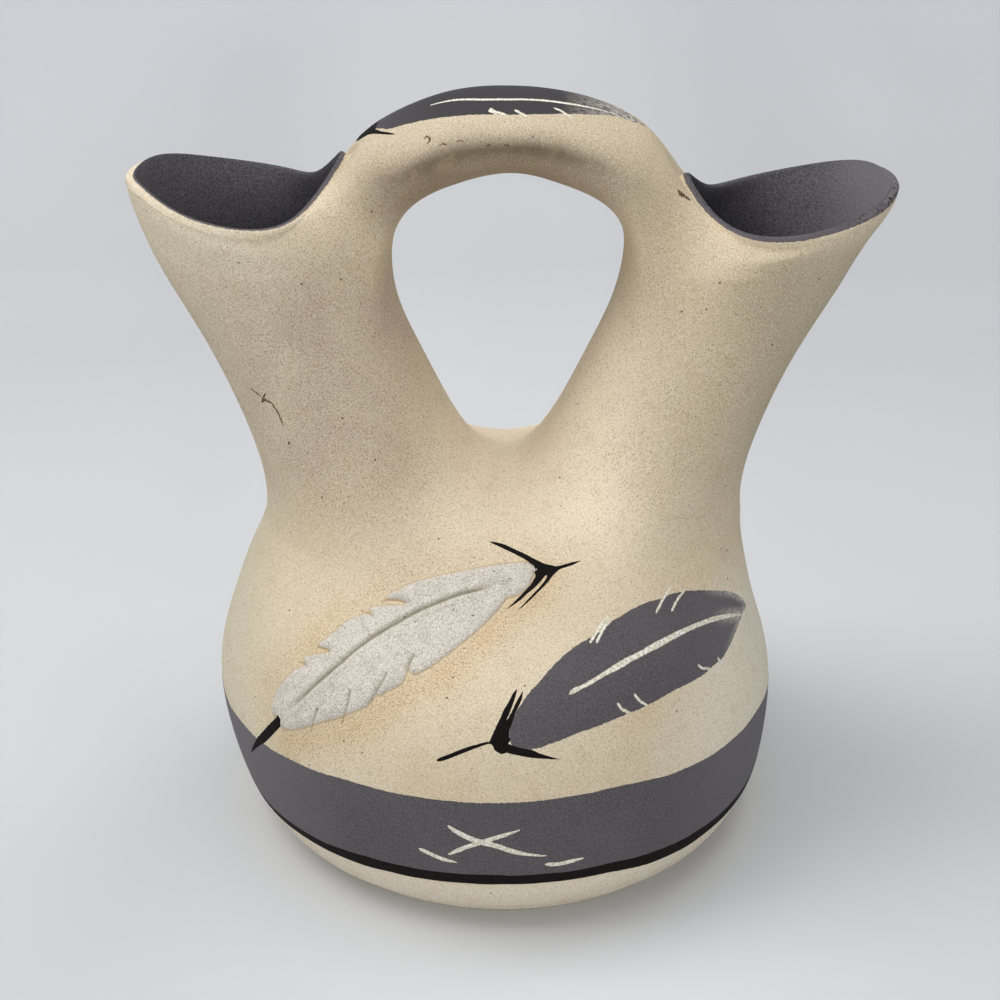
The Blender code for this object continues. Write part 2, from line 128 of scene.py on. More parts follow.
# Local frames of the feathers: origin in millimetres, the way to the tip, the way out
RAISED_FRAME = ((-49, -42.5, 41.4), (0.847, 0.138, 0.514), (-0.299, -0.675, 0.675))
PAINTED_FRAME = ((-2.2, -61.3, 49.9), (0.783, 0.611, 0.119), (0.402, -0.642, 0.653))
CREST_FRAME = ((0, 0, 160), (1, 0, 0), (0, 0, 1))

# Outlines and strokes in tenths of a millimetre, along the feather and across it
RAISED_OUTLINE = tenths(
    12,18, 4,34, 8,46, 29,61, 47,68, 68,70, 88,71, 106,70, 123,66, 137,63, 137,69, 137,75, 147,78, 161,71,
    180,61, 195,54, 202,53, 198,62, 186,73, 181,82, 192,85, 207,84, 222,87, 238,89, 254,91, 273,91,
    293,88, 311,82, 321,74, 322,80, 318,88, 327,89, 346,81, 369,69, 386,58, 395,59, 390,69, 374,80,
    359,91, 376,95, 399,94, 426,93, 456,87, 485,81, 513,74, 542,67, 570,60, 597,52, 625,42, 647,32,
    658,22, 664,10, 665,1, 653,-5, 643,-16, 628,-26, 609,-32, 594,-31, 583,-28, 567,-38, 545,-50, 524,-58,
    495,-70, 466,-78, 435,-86, 406,-92, 377,-96, 354,-96, 344,-94, 339,-86, 340,-77, 334,-79, 325,-89,
    311,-97, 296,-98, 279,-96, 261,-95, 252,-90, 244,-94, 227,-97, 209,-95, 189,-90, 171,-86, 156,-82,
    133,-73, 110,-63, 88,-55, 66,-46, 44,-35, 24,-22, 11,-8, 8,6)
RAISED_SHAFT = tenths(
    34,7, 90,5, 153,8, 208,12, 261,19, 311,24, 358,26, 403,28, 451,25, 502,21, 545,11, 575,3)
RAISED_BARBS = (
    tenths(361,-59, 348,-67, 335,-80), tenths(293,-64, 271,-77, 250,-87, 229,-95),
    tenths(206,-52, 190,-67, 165,-85, 136,-99), tenths(119,-37, 96,-48, 66,-67),
    tenths(397,59, 384,71, 369,82, 350,90), tenths(320,69, 314,81, 302,95),
    tenths(202,52, 192,66, 181,77), tenths(138,56, 132,70, 123,80))
TIP_MARK = tenths(
    602,113, 626,94, 645,68, 659,48, 671,29, 683,11, 698,-4, 706,-10, 723,-14, 738,-17, 757,-23, 737,-23,
    722,-21, 709,-19, 700,-21, 687,-26, 672,-34, 656,-41, 636,-49, 616,-57, 601,-62, 587,-66, 606,-57,
    626,-48, 646,-39, 661,-32, 675,-23, 678,-18, 674,-18, 661,-25, 644,-32, 622,-39, 601,-46, 583,-50,
    569,-52, 588,-45, 607,-37, 623,-30, 641,-21, 653,-12, 657,-7, 657,-1, 664,2, 663,9, 660,19, 655,32,
    648,45, 637,62, 622,84)
QUILL_MARK = tenths(
    19,17, 21,6, 13,0, -18,2, -41,5, -68,12, -94,23, -121,34, -105,34, -76,31, -54,27, -22,23, 6,20)
BASE_MARK = tenths(
    -5,9, 7,21, 20,33, 31,42, 45,54, 61,64, 77,75, 90,80, 77,66, 62,52, 49,40, 37,30, 46,35, 58,44, 72,55,
    86,64, 97,70, 85,55, 67,41, 55,29, 45,18, 37,9, 32,0, 35,-8, 25,-12, 31,-19, 44,-31, 61,-46, 73,-61,
    88,-76, 102,-89, 114,-99, 95,-87, 74,-74, 55,-61, 38,-47, 23,-34, 17,-28, 9,-26, 4,-21, -1,-11, -2,0,
    -6,6, -18,9, -36,12, -57,15, -78,18, -92,21, -98,25, -98,29, -91,29, -71,26, -50,23, -29,18, -8,12)
PAINTED_OUTLINE = tenths(
    36,10, 44,18, 54,29, 67,41, 86,51, 104,60, 133,70, 161,80, 186,88, 212,94, 246,99, 274,100, 286,100,
    310,102, 329,105, 343,108, 365,108, 391,110, 416,109, 440,106, 465,101, 480,98, 497,98, 520,93,
    542,87, 574,75, 608,62, 654,45, 683,33, 701,23, 721,10, 735,-4, 736,-15, 713,-19, 693,-29, 670,-39,
    642,-53, 615,-66, 594,-75, 571,-83, 552,-84, 526,-88, 500,-91, 467,-91, 430,-89, 393,-87, 351,-87,
    326,-85, 301,-84, 282,-81, 247,-77, 202,-72, 160,-64, 124,-60, 94,-55, 70,-50, 50,-40, 36,-26, 29,-15)
PAINTED_SHAFT = tenths(
    174,17, 186,23, 211,21, 247,21, 286,24, 324,25, 362,23, 396,24, 436,22, 478,20, 529,15, 584,8, 647,-6,
    704,-24, 675,-19, 613,-7, 554,3, 501,8, 450,10, 407,10, 368,12, 336,13, 304,12, 267,14, 231,13,
    202,14, 184,14)
PAINTED_NICKS = (
    tenths(273,90, 301,104, 327,117, 346,123), tenths(285,83, 312,100, 342,116),
    tenths(443,78, 471,94, 515,114), tenths(480,64, 506,79, 541,91),
    tenths(490,-65, 500,-77, 524,-86), tenths(558,-74, 564,-86, 575,-92),
    tenths(262,-49, 267,-66, 283,-81), tenths(306,-50, 314,-71, 330,-89))
CREST_FRONT = tenths(
    -274,5, -240,-46, -208,-60, -171,-72, -120,-85, -68,-92, -17,-96, 34,-96, 85,-88, 136,-74, 178,-59,
    231,-29, 274,-10, 300,16)
CREST_BACK = tenths(
    280,30, 240,50, 200,65, 140,85, 70,100, 0,105, -70,105, -140,98, -200,85, -240,70, -280,45)
CREST_SHAFT = tenths(
    -152,-17, -106,-23, -48,-38, 9,-39, 65,-36, 117,-34, 158,-29, 200,-23, 235,-15)
CREST_NICKS = (tenths(-29,-74, -19,-86, -7,-91, 8,-99), tenths(-31,-82, -21,-89, -13,-92),
               tenths(22,-80, 32,-89, 48,-100), tenths(103,-62, 116,-68, 130,-79, 144,-87))
CREST_BLADE = tenths(
    -313,34, -302,3, -278,-21, -256,-49, -236,-70, -219,-83, -239,-59, -256,-36, -268,-10, -262,2,
    -262,23, -256,54, -246,95, -273,80, -294,62)

# Softening of the wall below the lips: its share from the outer tip to the handle's side, how much
# of that the row below takes, and the rounds of smoothing above each share
LIP_SOFTNESS = (0.20, 0.70, 1.0, 1.0, 0.85, 0.22)
FLARE_SOFTNESS = 0.6
FLARE_SOFTENING = ((0.08, 12), (0.25, 35), (0.45, 80))

# Brown stains seen from the front: a point beside them, then their half widths and strokes from it
STAIN_WAYS = ((1, 0, 0), (0, -0.882, 0.471))
STAINS = (
    ("neck", (-50, -19, 108),
     ((0.16, tenths(-41,39, -28,28, -13,17)), (0.62, tenths(-15,15, -9,10)), (0.20, tenths(-12,17, -6,27)),
      (0.24, tenths(-10,12, -2,10, 9,4)), (0.18, tenths(6,6, 20,-18, 30,-46)),
      (0.30, tenths(38,-78, 41,-81)))),
    ("root", (37.5, -8.8, 151.5),
     ((0.34, tenths(-15,11, 1,0, 15,-9)), (0.22, tenths(-12,3, -2,-4)))),
    ("crown_left", (-12, -13.5, 164.5),
     ((0.20, tenths(-43,11, -37,16, -31,12, -32,4, -38,-2)), (0.16, tenths(-12,-6, -3,-1, 7,-6)),
      (0.16, tenths(23,2, 33,5, 39,0)))),
    ("crown", (-1, -15.4, 164.6),
     ((0.18, tenths(-26,1, -16,3)), (0.16, tenths(10,3, 21,1)), (0.14, tenths(45,-9, 53,-6)))))

# Bands: degrees round from the front towards the right, and height in millimetres
BAND_TOP = pairs(
    -180,35, -130,34, -90,33.2, -69,33.9, -60,34.8, -50,35, -45,35.5, -36,36.3, -29,37.2, 0,37,
    22,37.3, 27,37, 31,36.6, 37,35.5, 48,34.6, 62,34.1, 70,33.7, 81,31.8, 105,33.2, 140,34.6, 180,35)
LINE_TOP = pairs(
    -180,15.9, -120,15.2, -90,14.5, -57,13.9, -45,14.8, -39,15.1, -33,15.9, -28,16.5, -19,16.8, 0,17.1,
    14,16.7, 22,16.7, 27,16.2, 32,15.7, 37,15.3, 43,14.9, 64,14.8, 110,15.4, 180,15.9)
LINE_BOTTOM = pairs(
    -180,12.4, -120,12, -90,11.6, -52,11.4, -45,12, -33,12.3, -24,13, -11,13.6, 0,13.8, 18,13.5,
    22,13.3, 27,12.6, 32,11.6, 37,11.2, 43,11, 50,11.3, 90,11.8, 180,12.4)
LINE_OVERLAP = 1.2
BAND_SCRATCHES = (
    (0.62, pairs(-8.9,30.5, -7.1,28.9, -4.9,27.5, -2.7,26.5, 0,25.6, 1.8,24.6, 3.6,23.7, 6.2,22.8,
                 9.7,22)),
    (0.50, pairs(-9.6,22.5, -6.2,24.9, -2.6,26.8, 0.1,28, 2,28.8, 4.9,30)),
    (0.50, pairs(-15.4,23, -13.6,22.1, -11.3,21, -8.2,20.3)),
    (0.50, pairs(9.1,19.6, 11.7,19.2, 14.1,19.5, 16.9,19.8)))


# Clay skin: the cage of the CAD, with more rows

def turned_radius(height):
    """Outer radius of the bowl at a height."""
    drop = abs(EQUATOR_HEIGHT - height) / BOWL_CURVE_DEPTH
    return BOWL_RADIUS * (1 - drop ** BOWL_FULLNESS) ** (1 / BOWL_FULLNESS)


def hollow_radius(height):
    """Inner radius of the bowl at a height."""
    drop = abs(EQUATOR_HEIGHT - height) / (EQUATOR_HEIGHT - FLOOR)
    return (BOWL_RADIUS - WALL) * (1 - drop ** BOWL_FULLNESS) ** (1 / BOWL_FULLNESS)


def lean(side, height):
    """How far the right spout and the handle's right root lean out at a height."""
    rise = max(height - WAIST[0], 0) / (LEFT_LIP[0][2] - WAIST[0])
    return RIGHT_LEAN * rise ** LEAN_CURVE * (side + 1) / 2


def sag(height):
    """How far the belly has sagged to the left at a height."""
    if 0 < height < WAIST[0]:
        return SLUMP * math.sin(math.pi * (height / WAIST[0]) ** SLUMP_CURVE)
    return 0.0


def half_turn(steps):
    return [math.pi * step / steps for step in range(steps + 1)]


def body_row(height, half_width, half_depth, inset=0.0):
    """A half ring of the body, from +X through the front to -X."""
    return [((half_width - inset) * math.cos(turn), (inset - half_depth) * math.sin(turn), height)
            for turn in half_turn(BODY_STEPS)]


def waist_row(inset):
    row = body_row(*WAIST, inset)
    row[BODY_STEPS // 2] = (0, inset - CROTCH_FRONT_HALF_DEPTH, CROTCH_FRONT_HEIGHT - inset)
    return row


def crotch_row(inset):
    return [(0, inset / 2 - CROTCH_SIDE_HALF_DEPTH, CROTCH_SIDE_HEIGHT - inset),
            (0, 0, CROTCH_HEIGHT - inset)]


def section_row(side, section, inset):
    """A half ring of a spout, from its outer side through the front to its inner side."""
    (outer, outer_height), (inner, inner_height), half_depth = section
    middle = (outer + inner) / 2 + lean(side, outer_height)
    half = (outer - inner) / 2 - inset
    row = []
    for turn in half_turn(SPOUT_STEPS):
        rise = (outer_height - inner_height) / 2 * math.cos(turn)
        row.append((side * (middle + half * math.cos(turn)), (inset - half_depth) * math.sin(turn),
                    (outer_height + inner_height) / 2 + rise))
    return row


def lip_row(side, inset, falls):
    """A half ring of a lip, drawn in towards the mouth and let down from its crest."""
    lip = RIGHT_LIP if side > 0 else LEFT_LIP
    middle = (lip[0][0] + lip[-1][0]) / 2
    length_share = 1 - inset / (lip[0][0] - middle)
    depth_share = 1 - inset / max(depth for reach, depth, height in lip)
    return [(side * (middle + (reach - middle) * length_share), -depth * depth_share,
             height - fall * LIP_ROUND)
            for (reach, depth, height), fall in zip(lip, falls)]


def handle_row(side, section):
    """A half ring of the handle, from its top through the front to its underside."""
    (top, crown), (middle, centre), (under, floor), leaning = section
    corner = math.sqrt(0.5)
    shift = lean(side, centre) * leaning
    points = [(top, 0, crown),
              (middle + (top - middle) * corner, corner, centre + (crown - centre) * corner),
              (middle, 1, centre),
              (middle + (under - middle) * corner, corner, centre + (floor - centre) * corner),
              (under, 0, floor)]
    return [(side * x + shift, -HANDLE_HALF_WIDTH * y, z) for x, y, z in points]


def add_row(cage, points, lining):
    layer = cage.verts.layers.float["lining"]
    row = [cage.verts.new(point) for point in points]
    shares = lining if isinstance(lining, tuple) else (lining,) * len(row)
    for vertex, share in zip(row, shares):
        vertex[layer] = share
    return row


def add_strips(cage, rows):
    """Faces between each row and the next."""
    for lower, upper in zip(rows, rows[1:]):
        for corners in zip(lower, lower[1:], upper[1:], upper):
            cage.faces.new(corners)


def add_skin(cage, inset, lining, rows, sections):
    """One face of the wall, from the pole of its floor to the last section of each spout."""
    pole = add_row(cage, [(0, 0, rows[0][0])], lining)[0]
    rows = [add_row(cage, body_row(height, radius, radius), lining) for height, radius in rows]
    for a, b in zip(rows[0], rows[0][1:]):
        cage.faces.new((pole, b, a))
    rows += [add_row(cage, body_row(*section, inset), lining)
             for section in (SHOULDER_LOWER, SHOULDER_UPPER)]
    rows.append(add_row(cage, waist_row(inset), lining))
    add_strips(cage, rows)
    crotch = add_row(cage, crotch_row(inset), lining)
    front = BODY_STEPS // 2
    spouts = {1: [rows[-1][:front + 1] + crotch], -1: [rows[-1][:front - 1:-1] + crotch]}
    for side, spout in spouts.items():
        for section in sections:
            spout.append(add_row(cage, section_row(side, section, inset), lining))
    return spouts


def build_cage():
    """Half of the clay's cage, open at the mirror plane, with the dark lining marked."""
    cage = bmesh.new()
    cage.verts.layers.float.new("lining")
    cage.verts.layers.float.new("flare")
    outer_rows = FOOT_ROWS + tuple((height, turned_radius(height)) for height in OUTER_HEIGHTS)
    outer = add_skin(cage, 0, 0.0, outer_rows, (SPOUT_BASE, SPOUT_MIDDLE, SPOUT_THROAT, SPOUT_FLARE))
    holes = {}
    for side, rows in outer.items():
        rows.append(add_row(cage, lip_row(side, 0, LIP_FALL), RIGHT_EDGE_LINING if side > 0 else 0.0))
        add_strips(cage, rows[:4])
        add_strips(cage, [row[:-1] for row in rows[3:]])
        throat, flare, lip = rows[3:]
        for row, share in ((flare, FLARE_SOFTNESS), (lip, 1.0)):
            for vertex, softness in zip(row, LIP_SOFTNESS):
                vertex[cage.verts.layers.float["flare"]] = softness * share
        holes[side] = [lip[-1], lip[-2], flare[-2], throat[-2], throat[-1]]
    rows = [holes[-1]]
    for side, section in ((-1, HANDLE_ROOT), (-1, HANDLE_SHOULDER), (1, HANDLE_MIDDLE),
                          (1, HANDLE_SHOULDER), (1, HANDLE_ROOT)):
        rows.append(add_row(cage, handle_row(side, section), 0.0))
    rows.append(holes[1])
    add_strips(cage, rows)
    inner_rows = FLOOR_ROWS + tuple((height, hollow_radius(height)) for height in INNER_HEIGHTS)
    inner = add_skin(cage, WALL, 1.0, inner_rows, (SPOUT_BASE, SPOUT_THROAT))
    for side, rows in inner.items():
        rows.append(add_row(cage, lip_row(side, 2 * LIP_ROUND, [1] * len(LIP_FALL)), 1.0))
        crest = RIGHT_CREST_LINING if side > 0 else LEFT_CREST_LINING
        rows.append(add_row(cage, lip_row(side, LIP_ROUND, [0] * len(LIP_FALL)), crest))
        rows.append(outer[side][-1])
        add_strips(cage, rows)
    return cage


def add_object(name, data):
    made = bpy.data.objects.new(name, data)
    bpy.context.scene.collection.objects.link(made)
    return made


def object_of(name, shape):
    """A new object with a shape's faces."""
    mesh = bpy.data.meshes.new(name)
    shape.to_mesh(mesh)
    shape.free()
    return add_object(name, mesh)


def evaluated_mesh(piece):
    bpy.context.view_layer.update()
    graph = bpy.context.evaluated_depsgraph_get()
    return bpy.data.meshes.new_from_object(piece.evaluated_get(graph))


def smooth_skin():
    """The whole clay skin, rounded so that it meets the cage's points, slumped and a little uneven."""
    piece = object_of("skin", build_cage())
    mesh = piece.data
    mirror = piece.modifiers.new("other_half", "MIRROR")
    mirror.use_axis = (False, True, False)
    mirror.merge_threshold = MERGE_DISTANCE
    whole = bmesh.new()
    whole.from_mesh(evaluated_mesh(piece))
    bmesh.ops.recalc_face_normals(whole, faces=whole.faces)
    piece.modifiers.clear()
    whole.to_mesh(mesh)
    whole.free()
    rounding = piece.modifiers.new("rounding", "SUBSURF")
    rounding.levels = 1
    wanted = [vertex.co.copy() for vertex in mesh.vertices]
    for _ in range(CAGE_ROUNDS):
        reached = evaluated_mesh(piece)
        for vertex, goal, got in zip(mesh.vertices, wanted, reached.vertices):
            vertex.co += goal - got.co
        bpy.data.meshes.remove(reached)
    rounding.levels = SMOOTH_LEVELS
    skin = evaluated_mesh(piece)
    bpy.data.objects.remove(piece)
    relaxed = bmesh.new()
    relaxed.from_mesh(skin)
    flare = relaxed.verts.layers.float["flare"]
    for least, rounds in FLARE_SOFTENING:
        flared = [vertex for vertex in relaxed.verts if vertex[flare] > least]
        for _ in range(rounds):
            bmesh.ops.smooth_vert(relaxed, verts=flared, factor=0.5, use_axis_x=True, use_axis_y=True,
                                  use_axis_z=True)
    relaxed.to_mesh(skin)
    relaxed.free()
    for vertex in skin.vertices:
        vertex.co.x -= sag(vertex.co.z)
    skin.update()
    moves = [vertex.normal * (noise.noise(vertex.co * WOBBLE_SCALE) * WOBBLE) for vertex in skin.vertices]
    for vertex, move in zip(skin.vertices, moves):
        if vertex.co.z > FOOT_FLAT:
            vertex.co += move
    skin.update()
    return skin


class Skin:
    """The smooth clay skin, for finding points, normals and the lining's share on it."""

    def __init__(self, mesh):
        mesh.calc_loop_triangles()
        self.points = [vertex.co.copy() for vertex in mesh.vertices]
        self.normals = [vertex.normal.copy() for vertex in mesh.vertices]
        self.lining = [item.value for item in mesh.attributes["lining"].data]
        self.corners = [tuple(triangle.vertices) for triangle in mesh.loop_triangles]
        self.tree = BVHTree.FromPolygons(self.points, self.corners, all_triangles=True)

    def at(self, index, place):
        """The smooth normal and the lining's share at a place on a triangle."""
        corners = self.corners[index]
        a, b, c = (self.points[corner] for corner in corners)
        full = (b - a).cross(c - a)
        size = full.length_squared or 1.0
        first = (b - place).cross(c - place).dot(full) / size
        second = (c - place).cross(a - place).dot(full) / size
        shares = list(zip(corners, (first, second, 1 - first - second)))
        normal = sum((self.normals[corner] * share for corner, share in shares), Vector())
        return normal.normalized(), sum(self.lining[corner] * share for corner, share in shares)

    def first_hit(self, start, way):
        place, _, index, _ = self.tree.ray_cast(start, way)
        return place, self.at(index, place)[0]


def add_slab(name, outline):
    """A cutter with an outline seen from the front, right through the vase."""
    reach = 2 * BOWL_RADIUS
    shape = bmesh.new()
    face = shape.faces.new([shape.verts.new((x, -reach, z)) for x, z in outline])
    sweep = bmesh.ops.extrude_face_region(shape, geom=[face])
    moved = [item for item in sweep["geom"] if isinstance(item, bmesh.types.BMVert)]
    bmesh.ops.translate(shape, verts=moved, vec=(0, 2 * reach, 0))
    bmesh.ops.recalc_face_normals(shape, faces=shape.faces)
    return object_of(name, shape)


def rectangle(left, right, bottom, top):
    return [(left, bottom), (right, bottom), (right, top), (left, top)]


def handle_outline():
    points = (HANDLE_CUT_UNDER, HANDLE_CUT_TOP, (HANDLE_CUT_TOP[0], 2 * HANDLE_CUT_TOP[1]))
    right = [(x + lean(1, height), height) for x, height in points]
    return right + [(-x, height) for x, height in reversed(points)]


def part_clay(mesh, skin):
    """The clay's five pieces, cut from the one skin, each closed."""
    reach, top = 2 * BOWL_RADIUS, 2 * HANDLE_CUT_TOP[1]
    regions = {
        "bowl": rectangle(-reach, reach, -reach, SEAM_HEIGHT),
        "shoulder": rectangle(-reach, reach, SEAM_HEIGHT, SPOUT_SEAM_HEIGHT),
        "left_spout": rectangle(-reach, 0, SPOUT_SEAM_HEIGHT, top),
        "right_spout": rectangle(0, reach, SPOUT_SEAM_HEIGHT, top),
        "handle": handle_outline(),
    }
    roots = add_slab("handle_roots", handle_outline())
    made = {}
    for name, outline in regions.items():
        piece = add_object("clay_" + name, mesh.copy())
        region = add_slab(name + "_region", outline)
        cuts = [(region, "INTERSECT")] + ([(roots, "DIFFERENCE")] if name.endswith("spout") else [])
        for cutter, operation in cuts:
            boolean = piece.modifiers.new(cutter.name, "BOOLEAN")
            boolean.operation = operation
            boolean.object = cutter
        cut_mesh = evaluated_mesh(piece)
        piece.modifiers.clear()
        piece.data = cut_mesh
        bpy.data.objects.remove(region)
        match_skin(cut_mesh, skin)
        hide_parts(name)
        finish_piece(piece, clay)
        made[name] = piece
    bpy.data.objects.remove(roots)
    return made


def match_skin(mesh, skin):
    """Give a cut piece the whole skin's normals and lining, so that no seam shows."""
    normals, shares = [], []
    for vertex in mesh.vertices:
        place, _, index, _ = skin.tree.find_nearest(vertex.co)
        normal, share = skin.at(index, place)
        normals.append(normal)
        shares.append(share)
    layer = mesh.attributes.get("lining") or mesh.attributes.new("lining", "FLOAT", "POINT")
    layer.data.foreach_set("value", shares)
    layer = mesh.attributes.new("halo", "FLOAT", "POINT")
    layer.data.foreach_set("value", halo_on(mesh))
    mesh.shade_smooth()
    mesh.normals_split_custom_set_from_vertices(normals)


def halo_on(mesh):
    """The feather's warm stain at each point of a clay piece, by its place in the feather's frame."""
    origin, along, across, out = (np.array(part) for part in frame_axes(RAISED_FRAME))
    places = np.empty(len(mesh.vertices) * 3)
    mesh.vertices.foreach_get("co", places)
    places = places.reshape(-1, 3) / MM - origin
    local = np.stack([places @ along, places @ across], 1)
    height = places @ out
    near = (height > -20) & (np.abs(local[:, 0] - 33) < 55) & (np.abs(local[:, 1]) < 30)
    values = np.zeros(len(places))
    if near.any():
        values[near] = halo_of(local[near])
    return values


def finish_piece(piece, material):
    piece.data.materials.clear()
    piece.data.materials.append(material)
    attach(piece, "root")


# Sheets that follow the skin

COAT = 0.07
THIN_COAT = 0.03
ROUND_TO_ARC = BOWL_RADIUS / MM * math.pi / 180
LEAST_SHOWN = -0.02
RAY_HEIGHT = 20
RAY_REACH = 0.09


def curved(points, closed, steps=6, corner=50):
    """Points along a smooth line through the given ones, which keeps its sharp corners."""
    count = len(points)
    before, after = np.roll(points, 1, 0), np.roll(points, -1, 0)
    if not closed:
        before[0], after[-1] = points[0], points[-1]
    into, onward = points - before, after - points
    turn = np.abs(np.arctan2(into[:, 0] * onward[:, 1] - into[:, 1] * onward[:, 0],
                             (into * onward).sum(1)))
    sharp = turn > math.radians(corner)
    middle = (after - before) / 2
    line = []
    for i in range(count if closed else count - 1):
        j = (i + 1) % count
        chord = points[j] - points[i]
        start, end = (chord if sharp[k] else
                      middle[k] * min(1, np.hypot(*chord) / (np.hypot(*middle[k]) + 1e-9))
                      for k in (i, j))
        for t in np.arange(steps) / steps:
            line.append((2 * t**3 - 3 * t**2 + 1) * points[i] + (t**3 - 2 * t**2 + t) * start
                        + (3 * t**2 - 2 * t**3) * points[j] + (t**3 - t**2) * end)
    if not closed:
        line.append(points[-1])
    return np.array(line)


def line_distance(where, line, closed=False):
    """Distance from each point to a line, and how far along it the nearest place lies, 0 to 1."""
    starts = line if closed else line[:-1]
    ends = np.roll(line, -1, 0) if closed else line[1:]
    along = ends - starts
    size = np.maximum((along ** 2).sum(1), 1e-12)
    best = np.full(len(where), 1e9)
    share = np.zeros(len(where))
    for index, (start, way, square) in enumerate(zip(starts, along, size)):
        offset = where - start
        t = np.clip(offset @ way / square, 0, 1)
        far = np.hypot(*(offset - t[:, None] * way).T)
        closer = far < best
        best[closer] = far[closer]
        share[closer] = (index + t[closer]) / len(starts)
    return best, share


def inside(where, outline):
    """Whether each point lies in the outline."""
    found = np.zeros(len(where), bool)
    for (ax, ay), (bx, by) in zip(outline, np.roll(outline, -1, 0)):
        if ay == by:
            continue
        crosses = (ay > where[:, 1]) != (by > where[:, 1])
        found ^= crosses & (where[:, 0] < (bx - ax) * (where[:, 1] - ay) / (by - ay) + ax)
    return found


def depth_in(where, outline):
    """Distance into the outline, negative outside it."""
    far, _ = line_distance(where, outline, closed=True)
    return np.where(inside(where, outline), far, -far)


def depth_in_stroke(where, stroke, half_width, start=0.35, end=0.15):
    """Distance into a stroke of the stylus, which thins towards its two ends."""
    far, share = line_distance(where, curved(stroke, False))
    taper = np.minimum(1, np.minimum(start + share * 5, end + (1 - share) * 3))
    return half_width * taper - far


def frame_axes(local):
    """A local frame's origin and its ways along, across and out."""
    origin, along, out = (Vector(part) for part in local)
    across = out.cross(along).normalized()
    return origin, along, across, along.cross(across).normalized()


def frame_place(local):
    """The point above a place in a local frame, and the way down to the clay."""
    origin, along, across, out = frame_axes(local)

    def place(x, y):
        return (origin + along * x + across * y + out * RAY_HEIGHT) * MM, -out
    return place


def band_place(x, y):
    """The point outside the bowl at x degrees round it and y millimetres up, and the way in."""
    turn = math.radians(x)
    way = Vector((math.sin(turn), -math.cos(turn), 0))
    return Vector((-sag(y * MM), 0, y * MM)) + way * RAY_REACH, -way


def lay(name, node, material, skin, place, xs, ys, height, base=-0.35, around=False,
        keep_normals=True):
    """A closed sheet on the clay: its top at height(x, y) millimetres above the skin, its rim sunk in.

    height returns the height in millimetres and the named values that the material reads.
    """
    grid = np.array([(x, y) for y in ys for x in xs])
    top, values = height(grid)
    shown = (top > LEAST_SHOWN).reshape(len(ys), len(xs))
    beside = np.roll(shown, -1, 1)
    cells = shown[:-1] | shown[1:] | beside[:-1] | beside[1:]
    row, column = np.nonzero(cells if around else cells[:, :-1])
    here, onward = row * len(xs), (column + 1) % len(xs)
    corners = [here + column, here + onward, here + onward + len(xs), here + column + len(xs)]
    spots, corners = np.unique(np.stack(corners, 1), return_inverse=True)
    tops, bottoms, normals = [], [], []
    for spot in spots:
        point, normal = skin.first_hit(*place(*grid[spot]))
        tops.append(point + normal * (top[spot] * MM))
        bottoms.append(point + normal * (base * MM))
        normals.append(normal)
    count = len(tops)
    faces, edges = corners.reshape(-1, 4).tolist(), {}
    for face in faces:
        for a, b in zip(face, face[1:] + face[:1]):
            if not edges.pop((b, a), None):
                edges[(a, b)] = True
    faces += [[count + corner for corner in reversed(face)] for face in faces]
    faces += [[b, a, a + count, b + count] for a, b in edges]
    mesh = bpy.data.meshes.new(name)
    mesh.from_pydata(tops + bottoms, [], faces)
    for key, value in values.items():
        layer = mesh.attributes.new(key, "FLOAT", "POINT")
        layer.data.foreach_set("value", np.concatenate([value[spots], np.zeros(count)]))
    if Vector(mesh.polygons[0].normal).dot(normals[faces[0][0]]) < 0:
        mesh.flip_normals()
    mesh.shade_smooth()
    mesh.update()
    if keep_normals:
        mesh.normals_split_custom_set_from_vertices(normals + [-normal for normal in normals])
    piece = add_object(name, mesh)
    if node:
        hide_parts(node)
    finish_piece(piece, material)
    return piece


def span(start, end, spacing):
    return np.linspace(start, end, int(round((end - start) / spacing)) + 1)


def coat_height(depth, thickness=COAT):
    """A flat coat whose rim dips into the clay within a fraction of a millimetre."""
    return np.clip(depth * 0.5, -0.2, thickness)


def roughened(where, amount, scale):
    """A small unevenness of a painted edge."""
    return np.array([noise.noise((x * scale, y * scale, 0)) for x, y in where]) * amount


def strokes_out(lines, half_width):
    """Depths into strokes that are scratched out of a coat, each a function of a grid."""
    return [lambda grid, line=line: depth_in_stroke(grid, line, half_width) for line in lines]


def lay_outline(name, node, material, skin, local, outline, holes=(), spacing=0.3, rough=0.1,
                thickness=COAT, worn=None, under=None):
    """A coat with an outline in a local frame, less the strokes scratched out of it."""
    line = curved(outline, True)
    low, high = line.min(0) - 1.2, line.max(0) + 1.2

    def height(grid):
        depth = depth_in(grid, line) + roughened(grid, rough, 1.7)
        for hole in holes:
            depth = np.minimum(depth, -hole(grid) - roughened(grid, rough, 2.3))
        values = {"depth": np.clip(depth, -1, 3)}
        if worn:
            values["worn"] = worn(grid, depth)
        top = coat_height(depth, thickness)
        if under:
            top = np.where(depth > -0.3, top + np.maximum(under(grid), 0), -1.0)
        return top, values
    return lay(name, node, material, skin, frame_place(local), span(low[0], high[0], spacing),
               span(low[1], high[1], spacing), height)


def lay_strokes(name, material, skin, place, strokes, scale=1.0, spacing=0.16):
    """Thin coats along strokes, each given by its half width and its line."""
    ends = np.concatenate([line for _, line in strokes])
    low, high = ends.min(0) - (1 / scale, 1), ends.max(0) + (1 / scale, 1)

    def height(grid):
        where = grid * (scale, 1)
        depth = np.max([depth_in_stroke(where, line * (scale, 1), half_width)
                        for half_width, line in strokes], 0) + roughened(where, 0.10, 3.1)
        return coat_height(depth, THIN_COAT), {"depth": np.clip(depth, -1, 3)}
    return lay(name, None, material, skin, place, span(low[0], high[0], spacing / scale),
               span(low[1], high[1], spacing), height)


